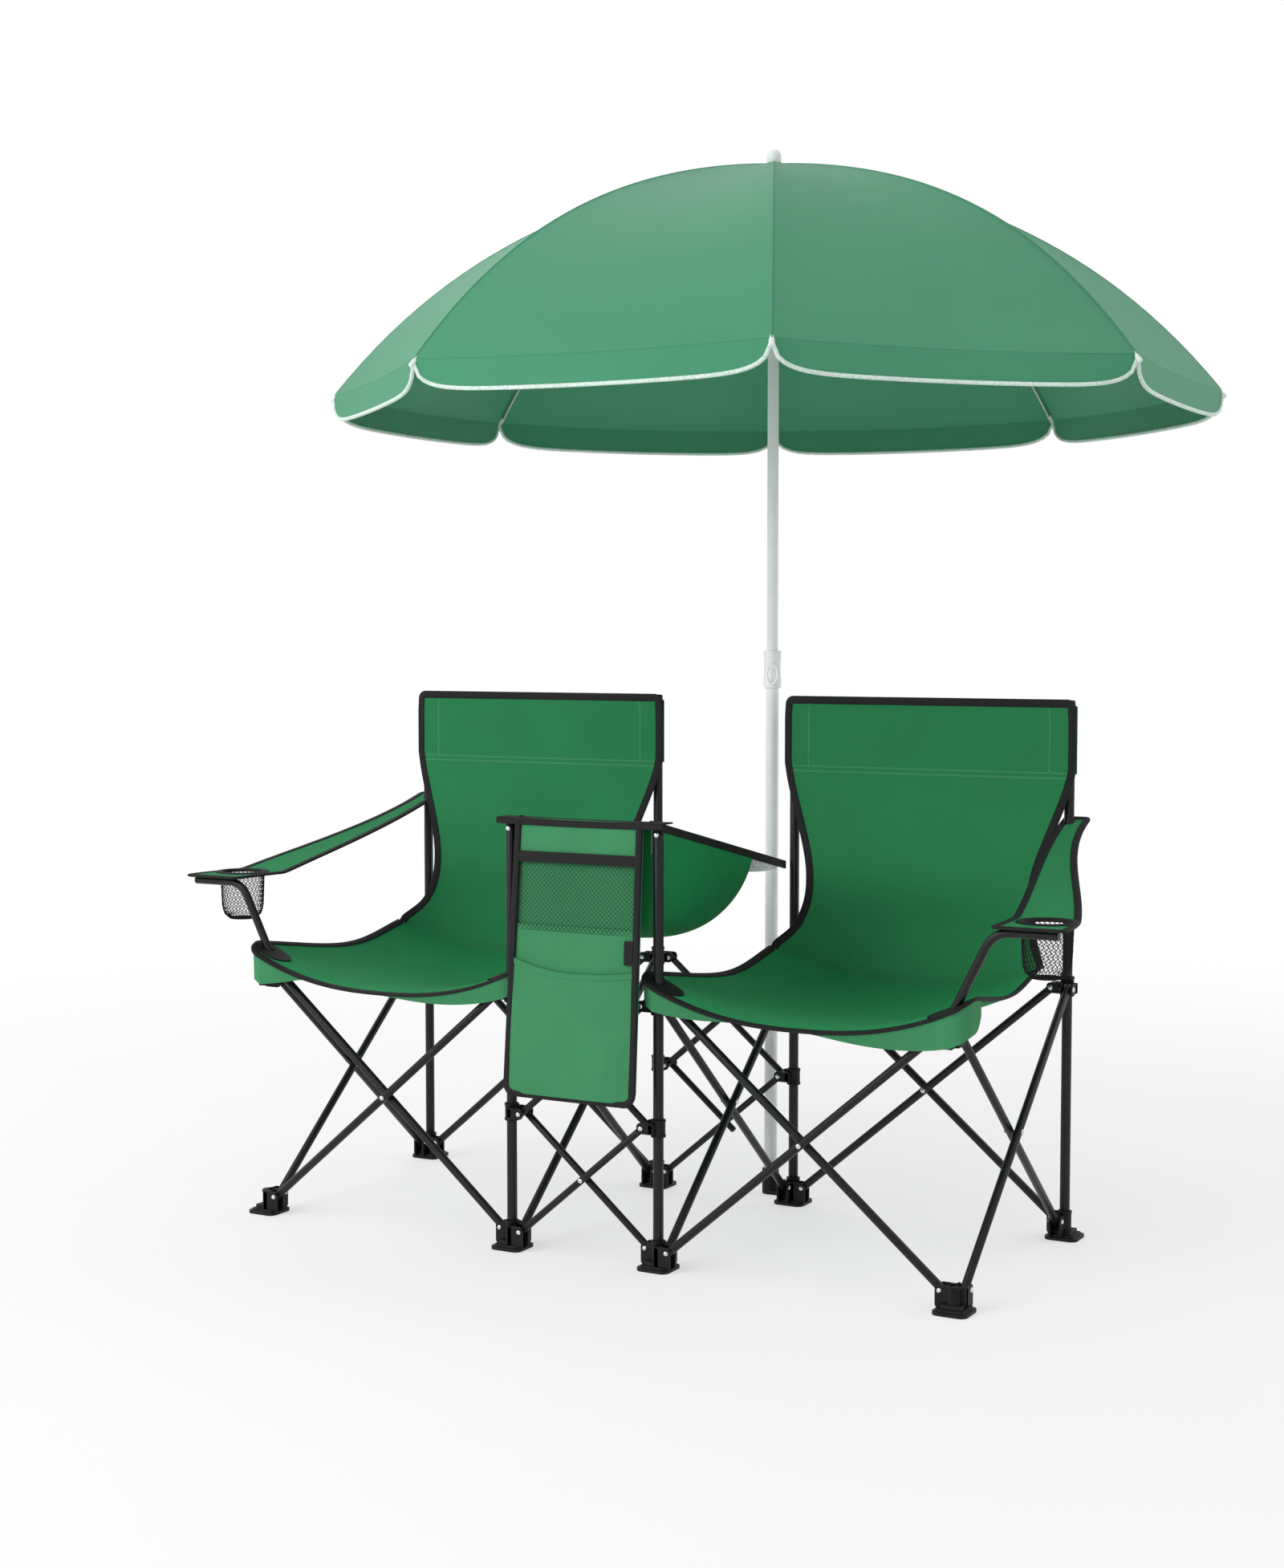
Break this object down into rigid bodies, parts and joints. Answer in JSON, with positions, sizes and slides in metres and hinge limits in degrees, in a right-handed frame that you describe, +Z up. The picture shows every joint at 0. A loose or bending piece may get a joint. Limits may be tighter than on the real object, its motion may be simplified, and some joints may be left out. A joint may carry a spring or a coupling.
{
  "type": "folding camping loveseat with umbrella",
  "caption": "Pair of folding camp chairs joined by a console with a cooler bag and organiser, crossed tube frame, cup holder armrests and a telescoping umbrella.",
  "frame": {"origin": "middle of the footprint on the floor", "axes": "+Z up, +X to the sitters' left along the seats, the sitters look towards -Y"},
  "size_m": [1.5524, 1.4148, 1.779],
  "materials": {
    "black_steel": "satin",
    "black_plastic": "matte",
    "seat_cloth": "matte",
    "canopy_cloth": "matte",
    "pole_steel": "satin"
  },
  "bodies": {
    "right_inner_front": {"right_inner_front_foot": "black_plastic", "right_inner_front_post": "black_steel", "console_cloth": "seat_cloth"},
    "right_inner_side_rising_back": {"right_inner_side_rising_back": "black_steel"},
    "right_inner_side_rising_front": {"right_inner_side_rising_front": "black_steel"},
    "right_inner_rear": {"right_inner_rear_foot": "black_plastic", "right_inner_rear_post": "black_steel", "right_back": "seat_cloth"},
    "right_inner_rear_hub": {"right_inner_rear_hub": "black_plastic"},
    "right_inner_front_hub": {"right_inner_front_hub": "black_plastic"},
    "console_front_lower_rising_left": {"console_front_lower_rising_left": "black_steel"},
    "console_front_lower_rising_right": {"console_front_lower_rising_right": "black_steel"},
    "left_inner_front": {"left_inner_front_foot": "black_plastic", "left_inner_front_post": "black_steel"},
    "left_inner_front_collar": {"left_inner_front_collar": "black_plastic"},
    "right_inner_front_collar": {"right_inner_front_collar": "black_plastic"},
    "console_front_upper_rising_right": {"console_front_upper_rising_right": "black_steel"},
    "console_front_upper_rising_left": {"console_front_upper_rising_left": "black_steel"},
    "right_arm_tube": {"right_arm_tube": "black_steel"},
    "right_front_rising_left": {"right_front_rising_left": "black_steel"},
    "right_outer_front": {"right_outer_front_foot": "black_plastic"},
    "right_outer_front_hub": {"right_outer_front_hub": "black_plastic"},
    "right_outer_side_rising_back": {"right_outer_side_rising_back": "black_steel"},
    "right_outer_side_rising_front": {"right_outer_side_rising_front": "black_steel"},
    "right_outer_rear": {"right_outer_rear_foot": "black_plastic", "right_outer_rear_post": "black_steel"},
    "right_outer_rear_hub": {"right_outer_rear_hub": "black_plastic"},
    "right_rear_rising_right": {"right_rear_rising_right": "black_steel"},
    "right_rear_rising_left": {"right_rear_rising_left": "black_steel"},
    "left_arm_tube": {"left_arm_tube": "black_steel"},
    "left_front_rising_right": {"left_front_rising_right": "black_steel"},
    "left_outer_front": {"left_outer_front_foot": "black_plastic"},
    "left_outer_front_hub": {"left_outer_front_hub": "black_plastic"},
    "left_inner_side_rising_back": {"left_inner_side_rising_back": "black_steel"},
    "left_inner_side_rising_front": {"left_inner_side_rising_front": "black_steel"},
    "left_inner_rear": {"left_inner_rear_foot": "black_plastic", "left_inner_rear_post": "black_steel", "left_back": "seat_cloth"},
    "left_inner_rear_hub": {"left_inner_rear_hub": "black_plastic"},
    "left_inner_front_hub": {"left_inner_front_hub": "black_plastic"},
    "left_outer_side_rising_back": {"left_outer_side_rising_back": "black_steel"},
    "left_outer_side_rising_front": {"left_outer_side_rising_front": "black_steel"},
    "left_outer_rear": {"left_outer_rear_foot": "black_plastic", "left_outer_rear_post": "black_steel"},
    "left_outer_rear_hub": {"left_outer_rear_hub": "black_plastic"},
    "left_rear_rising_left": {"left_rear_rising_left": "black_steel"},
    "left_rear_rising_right": {"left_rear_rising_right": "black_steel"},
    "console_rear_lower_rising_right": {"console_rear_lower_rising_right": "black_steel"},
    "console_rear_lower_rising_left": {"console_rear_lower_rising_left": "black_steel"},
    "left_inner_rear_collar": {"left_inner_rear_collar": "black_plastic"},
    "right_inner_rear_collar": {"right_inner_rear_collar": "black_plastic"},
    "console_rear_upper_rising_right": {"console_rear_upper_rising_right": "black_steel"},
    "console_rear_upper_rising_left": {"console_rear_upper_rising_left": "black_steel"},
    "left_seat": {"left_seat": "seat_cloth"},
    "right_seat": {"right_seat": "seat_cloth"},
    "left_armrest": {"left_armrest": "seat_cloth"},
    "right_armrest": {"right_armrest": "seat_cloth"},
    "umbrella_lower_pole": {"umbrella_lower_pole": "pole_steel"},
    "umbrella_mast": {"umbrella_mast": "pole_steel", "umbrella_canopy": "canopy_cloth"}
  },
  "joints": [
    {"name": "fold", "type": "hinge", "parent": "right_inner_front", "child": "right_inner_side_rising_back", "pos_m": [0.138, -0.502, 0.03], "axis": [1, 0, 0], "range_deg": [0, 43.4], "deforming": ["left_seat", "right_seat", "left_back", "right_back", "left_armrest", "right_armrest", "console_cloth"]},
    {"name": "right_inner_side_rising_front_hinge", "type": "hinge", "parent": "right_inner_side_rising_back", "child": "right_inner_side_rising_front", "pos_m": [0.131, -0.284, 0.217], "axis": [1, 0, 0], "range_deg": [-87.3, 0]},
    {"name": "right_inner_rear_hinge", "type": "hinge", "parent": "right_inner_side_rising_front", "child": "right_inner_rear", "pos_m": [0.124, -0.066, 0.03], "axis": [1, 0, 0], "range_deg": [0, 43.9]},
    {"name": "right_inner_rear_hub_hinge", "type": "hinge", "parent": "right_inner_side_rising_back", "child": "right_inner_rear_hub", "pos_m": [0.138, -0.066, 0.404], "axis": [1, 0, 0], "range_deg": [-43.9, 0]},
    {"name": "right_inner_front_hub_hinge", "type": "hinge", "parent": "right_inner_side_rising_front", "child": "right_inner_front_hub", "pos_m": [0.124, -0.502, 0.404], "axis": [1, 0, 0], "range_deg": [0, 43.9]},
    {"name": "console_front_lower_rising_left_hinge", "type": "hinge", "parent": "right_inner_front", "child": "console_front_lower_rising_left", "pos_m": [0.109, -0.517, 0.03], "axis": [0, 1, 0], "range_deg": [0, 43.9]},
    {"name": "console_front_lower_rising_right_hinge", "type": "hinge", "parent": "console_front_lower_rising_left", "child": "console_front_lower_rising_right", "pos_m": [0, -0.524, 0.1235], "axis": [0, 1, 0], "range_deg": [-87.3, 0]},
    {"name": "left_inner_front_hinge", "type": "hinge", "parent": "console_front_lower_rising_right", "child": "left_inner_front", "pos_m": [-0.109, -0.531, 0.03], "axis": [0, 1, 0], "range_deg": [0, 43.9]},
    {"name": "left_inner_front_collar_hinge", "type": "hinge", "parent": "console_front_lower_rising_left", "child": "left_inner_front_collar", "pos_m": [-0.109, -0.524, 0.217], "axis": [0, 1, 0], "range_deg": [-43.9, 0]},
    {"name": "right_inner_front_collar_hinge", "type": "hinge", "parent": "console_front_lower_rising_right", "child": "right_inner_front_collar", "pos_m": [0.109, -0.524, 0.217], "axis": [0, 1, 0], "range_deg": [0, 43.9]},
    {"name": "console_front_upper_rising_right_hinge", "type": "hinge", "parent": "left_inner_front_collar", "child": "console_front_upper_rising_right", "pos_m": [-0.109, -0.524, 0.217], "axis": [0, 1, 0], "range_deg": [-43.9, 0]},
    {"name": "console_front_upper_rising_left_hinge", "type": "hinge", "parent": "right_inner_front_collar", "child": "console_front_upper_rising_left", "pos_m": [0.109, -0.524, 0.217], "axis": [0, 1, 0], "range_deg": [0, 43.9]},
    {"name": "right_arm_tube_hinge", "type": "hinge", "parent": "right_inner_front", "child": "right_arm_tube", "pos_m": [0.153, -0.531, 0.03], "axis": [0, 1, 0], "range_deg": [-43.9, 0]},
    {"name": "right_front_rising_left_hinge", "type": "hinge", "parent": "right_arm_tube", "child": "right_front_rising_left", "pos_m": [0.371, -0.524, 0.217], "axis": [0, 1, 0], "range_deg": [0, 87.3]},
    {"name": "right_outer_front_hinge", "type": "hinge", "parent": "right_front_rising_left", "child": "right_outer_front", "pos_m": [0.589, -0.517, 0.03], "axis": [0, 1, 0], "range_deg": [-43.9, 0]},
    {"name": "right_outer_front_hub_hinge", "type": "hinge", "parent": "right_arm_tube", "child": "right_outer_front_hub", "pos_m": [0.589, -0.531, 0.404], "axis": [0, 1, 0], "range_deg": [0, 43.9]},
    {"name": "right_outer_side_rising_back_hinge", "type": "hinge", "parent": "right_outer_front", "child": "right_outer_side_rising_back", "pos_m": [0.618, -0.502, 0.03], "axis": [1, 0, 0], "range_deg": [0, 43.9]},
    {"name": "right_outer_side_rising_front_hinge", "type": "hinge", "parent": "right_outer_side_rising_back", "child": "right_outer_side_rising_front", "pos_m": [0.611, -0.284, 0.217], "axis": [1, 0, 0], "range_deg": [-87.3, 0]},
    {"name": "right_outer_rear_hinge", "type": "hinge", "parent": "right_outer_side_rising_front", "child": "right_outer_rear", "pos_m": [0.604, -0.066, 0.03], "axis": [1, 0, 0], "range_deg": [0, 43.9]},
    {"name": "right_outer_rear_hub_hinge", "type": "hinge", "parent": "right_outer_side_rising_back", "child": "right_outer_rear_hub", "pos_m": [0.618, -0.066, 0.404], "axis": [1, 0, 0], "range_deg": [-43.9, 0]},
    {"name": "right_rear_rising_right_hinge", "type": "hinge", "parent": "right_inner_rear", "child": "right_rear_rising_right", "pos_m": [0.153, -0.051, 0.03], "axis": [0, 1, 0], "range_deg": [-43.9, 0]},
    {"name": "right_rear_rising_left_hinge", "type": "hinge", "parent": "right_rear_rising_right", "child": "right_rear_rising_left", "pos_m": [0.371, -0.044, 0.217], "axis": [0, 1, 0], "range_deg": [0, 87.3]},
    {"name": "left_arm_tube_hinge", "type": "hinge", "parent": "left_inner_front", "child": "left_arm_tube", "pos_m": [-0.153, -0.517, 0.03], "axis": [0, 1, 0], "range_deg": [0, 43.9]},
    {"name": "left_front_rising_right_hinge", "type": "hinge", "parent": "left_arm_tube", "child": "left_front_rising_right", "pos_m": [-0.371, -0.524, 0.217], "axis": [0, 1, 0], "range_deg": [-87.3, 0]},
    {"name": "left_outer_front_hinge", "type": "hinge", "parent": "left_front_rising_right", "child": "left_outer_front", "pos_m": [-0.589, -0.531, 0.03], "axis": [0, 1, 0], "range_deg": [0, 43.9]},
    {"name": "left_outer_front_hub_hinge", "type": "hinge", "parent": "left_arm_tube", "child": "left_outer_front_hub", "pos_m": [-0.589, -0.517, 0.404], "axis": [0, 1, 0], "range_deg": [-43.9, 0]},
    {"name": "left_inner_side_rising_back_hinge", "type": "hinge", "parent": "left_inner_front", "child": "left_inner_side_rising_back", "pos_m": [-0.124, -0.502, 0.03], "axis": [1, 0, 0], "range_deg": [0, 43.9]},
    {"name": "left_inner_side_rising_front_hinge", "type": "hinge", "parent": "left_inner_side_rising_back", "child": "left_inner_side_rising_front", "pos_m": [-0.131, -0.284, 0.217], "axis": [1, 0, 0], "range_deg": [-87.3, 0]},
    {"name": "left_inner_rear_hinge", "type": "hinge", "parent": "left_inner_side_rising_front", "child": "left_inner_rear", "pos_m": [-0.138, -0.066, 0.03], "axis": [1, 0, 0], "range_deg": [0, 43.9]},
    {"name": "left_inner_rear_hub_hinge", "type": "hinge", "parent": "left_inner_side_rising_back", "child": "left_inner_rear_hub", "pos_m": [-0.124, -0.066, 0.404], "axis": [1, 0, 0], "range_deg": [-43.9, 0]},
    {"name": "left_inner_front_hub_hinge", "type": "hinge", "parent": "left_inner_side_rising_front", "child": "left_inner_front_hub", "pos_m": [-0.138, -0.502, 0.404], "axis": [1, 0, 0], "range_deg": [0, 43.9]},
    {"name": "left_outer_side_rising_back_hinge", "type": "hinge", "parent": "left_outer_front", "child": "left_outer_side_rising_back", "pos_m": [-0.604, -0.502, 0.03], "axis": [1, 0, 0], "range_deg": [0, 43.9]},
    {"name": "left_outer_side_rising_front_hinge", "type": "hinge", "parent": "left_outer_side_rising_back", "child": "left_outer_side_rising_front", "pos_m": [-0.611, -0.284, 0.217], "axis": [1, 0, 0], "range_deg": [-87.3, 0]},
    {"name": "left_outer_rear_hinge", "type": "hinge", "parent": "left_outer_side_rising_front", "child": "left_outer_rear", "pos_m": [-0.618, -0.066, 0.03], "axis": [1, 0, 0], "range_deg": [0, 43.9]},
    {"name": "left_outer_rear_hub_hinge", "type": "hinge", "parent": "left_outer_side_rising_back", "child": "left_outer_rear_hub", "pos_m": [-0.604, -0.066, 0.404], "axis": [1, 0, 0], "range_deg": [-43.9, 0]},
    {"name": "left_rear_rising_left_hinge", "type": "hinge", "parent": "left_inner_rear", "child": "left_rear_rising_left", "pos_m": [-0.153, -0.037, 0.03], "axis": [0, 1, 0], "range_deg": [0, 43.9]},
    {"name": "left_rear_rising_right_hinge", "type": "hinge", "parent": "left_rear_rising_left", "child": "left_rear_rising_right", "pos_m": [-0.371, -0.044, 0.217], "axis": [0, 1, 0], "range_deg": [-87.3, 0]},
    {"name": "console_rear_lower_rising_right_hinge", "type": "hinge", "parent": "left_inner_rear", "child": "console_rear_lower_rising_right", "pos_m": [-0.109, -0.051, 0.03], "axis": [0, 1, 0], "range_deg": [-43.9, 0]},
    {"name": "console_rear_lower_rising_left_hinge", "type": "hinge", "parent": "console_rear_lower_rising_right", "child": "console_rear_lower_rising_left", "pos_m": [0, -0.044, 0.1235], "axis": [0, 1, 0], "range_deg": [0, 87.3]},
    {"name": "left_inner_rear_collar_hinge", "type": "hinge", "parent": "console_rear_lower_rising_left", "child": "left_inner_rear_collar", "pos_m": [-0.109, -0.044, 0.217], "axis": [0, 1, 0], "range_deg": [-43.9, 0]},
    {"name": "right_inner_rear_collar_hinge", "type": "hinge", "parent": "console_rear_lower_rising_right", "child": "right_inner_rear_collar", "pos_m": [0.109, -0.044, 0.217], "axis": [0, 1, 0], "range_deg": [0, 43.9]},
    {"name": "console_rear_upper_rising_right_hinge", "type": "hinge", "parent": "left_inner_rear_collar", "child": "console_rear_upper_rising_right", "pos_m": [-0.109, -0.044, 0.217], "axis": [0, 1, 0], "range_deg": [-43.9, 0]},
    {"name": "console_rear_upper_rising_left_hinge", "type": "hinge", "parent": "right_inner_rear_collar", "child": "console_rear_upper_rising_left", "pos_m": [0.109, -0.044, 0.217], "axis": [0, 1, 0], "range_deg": [0, 43.9]},
    {"name": "left_seat_hinge", "type": "hinge", "parent": "left_inner_front_hub", "child": "left_seat", "pos_m": [-0.371, -0.549, 0.393], "axis": [1, 0, 0], "range_deg": [-85.13, 0]},
    {"name": "right_seat_hinge", "type": "hinge", "parent": "right_inner_front_hub", "child": "right_seat", "pos_m": [0.371, -0.549, 0.393], "axis": [1, 0, 0], "range_deg": [-85.13, 0]},
    {"name": "left_armrest_hinge", "type": "hinge", "parent": "left_outer_rear", "child": "left_armrest", "pos_m": [-0.611, -0.044, 0.674], "axis": [1, 0, 0], "range_deg": [-72.11, 0]},
    {"name": "right_armrest_hinge", "type": "hinge", "parent": "right_outer_rear", "child": "right_armrest", "pos_m": [0.611, -0.044, 0.674], "axis": [1, 0, 0], "range_deg": [-72.11, 0]},
    {"name": "umbrella_lift", "type": "slide", "parent": "right_inner_rear", "child": "umbrella_lower_pole", "axis": [0, 0, 1], "range_m": [0, 0.3]},
    {"name": "umbrella_height", "type": "slide", "parent": "umbrella_lower_pole", "child": "umbrella_mast", "axis": [0, 0, 1], "range_m": [-0.35, 0]}
  ],
  "couplings": [
    {"joint": "right_inner_side_rising_front_hinge", "follows": "fold", "ratio": -2},
    {"joint": "right_inner_rear_hinge", "follows": "fold", "ratio": 1},
    {"joint": "right_inner_rear_hub_hinge", "follows": "fold", "ratio": -1},
    {"joint": "right_inner_front_hub_hinge", "follows": "fold", "ratio": 1},
    {"joint": "console_front_lower_rising_left_hinge", "follows": "fold", "ratio": 1},
    {"joint": "console_front_lower_rising_right_hinge", "follows": "fold", "ratio": -2},
    {"joint": "left_inner_front_hinge", "follows": "fold", "ratio": 1},
    {"joint": "left_inner_front_collar_hinge", "follows": "fold", "ratio": -1},
    {"joint": "right_inner_front_collar_hinge", "follows": "fold", "ratio": 1},
    {"joint": "console_front_upper_rising_right_hinge", "follows": "fold", "ratio": -1},
    {"joint": "console_front_upper_rising_left_hinge", "follows": "fold", "ratio": 1},
    {"joint": "right_arm_tube_hinge", "follows": "fold", "ratio": -1},
    {"joint": "right_front_rising_left_hinge", "follows": "fold", "ratio": 2},
    {"joint": "right_outer_front_hinge", "follows": "fold", "ratio": -1},
    {"joint": "right_outer_front_hub_hinge", "follows": "fold", "ratio": 1},
    {"joint": "right_outer_side_rising_back_hinge", "follows": "fold", "ratio": 1},
    {"joint": "right_outer_side_rising_front_hinge", "follows": "fold", "ratio": -2},
    {"joint": "right_outer_rear_hinge", "follows": "fold", "ratio": 1},
    {"joint": "right_outer_rear_hub_hinge", "follows": "fold", "ratio": -1},
    {"joint": "right_rear_rising_right_hinge", "follows": "fold", "ratio": -1},
    {"joint": "right_rear_rising_left_hinge", "follows": "fold", "ratio": 2},
    {"joint": "left_arm_tube_hinge", "follows": "fold", "ratio": 1},
    {"joint": "left_front_rising_right_hinge", "follows": "fold", "ratio": -2},
    {"joint": "left_outer_front_hinge", "follows": "fold", "ratio": 1},
    {"joint": "left_outer_front_hub_hinge", "follows": "fold", "ratio": -1},
    {"joint": "left_inner_side_rising_back_hinge", "follows": "fold", "ratio": 1},
    {"joint": "left_inner_side_rising_front_hinge", "follows": "fold", "ratio": -2},
    {"joint": "left_inner_rear_hinge", "follows": "fold", "ratio": 1},
    {"joint": "left_inner_rear_hub_hinge", "follows": "fold", "ratio": -1},
    {"joint": "left_inner_front_hub_hinge", "follows": "fold", "ratio": 1},
    {"joint": "left_outer_side_rising_back_hinge", "follows": "fold", "ratio": 1},
    {"joint": "left_outer_side_rising_front_hinge", "follows": "fold", "ratio": -2},
    {"joint": "left_outer_rear_hinge", "follows": "fold", "ratio": 1},
    {"joint": "left_outer_rear_hub_hinge", "follows": "fold", "ratio": -1},
    {"joint": "left_rear_rising_left_hinge", "follows": "fold", "ratio": 1},
    {"joint": "left_rear_rising_right_hinge", "follows": "fold", "ratio": -2},
    {"joint": "console_rear_lower_rising_right_hinge", "follows": "fold", "ratio": -1},
    {"joint": "console_rear_lower_rising_left_hinge", "follows": "fold", "ratio": 2},
    {"joint": "left_inner_rear_collar_hinge", "follows": "fold", "ratio": -1},
    {"joint": "right_inner_rear_collar_hinge", "follows": "fold", "ratio": 1},
    {"joint": "console_rear_upper_rising_right_hinge", "follows": "fold", "ratio": -1},
    {"joint": "console_rear_upper_rising_left_hinge", "follows": "fold", "ratio": 1},
    {"joint": "left_seat_hinge", "follows": "fold", "ratio": -1.95},
    {"joint": "right_seat_hinge", "follows": "fold", "ratio": -1.95},
    {"joint": "left_armrest_hinge", "follows": "fold", "ratio": -1.65},
    {"joint": "right_armrest_hinge", "follows": "fold", "ratio": -1.65}
  ]
}
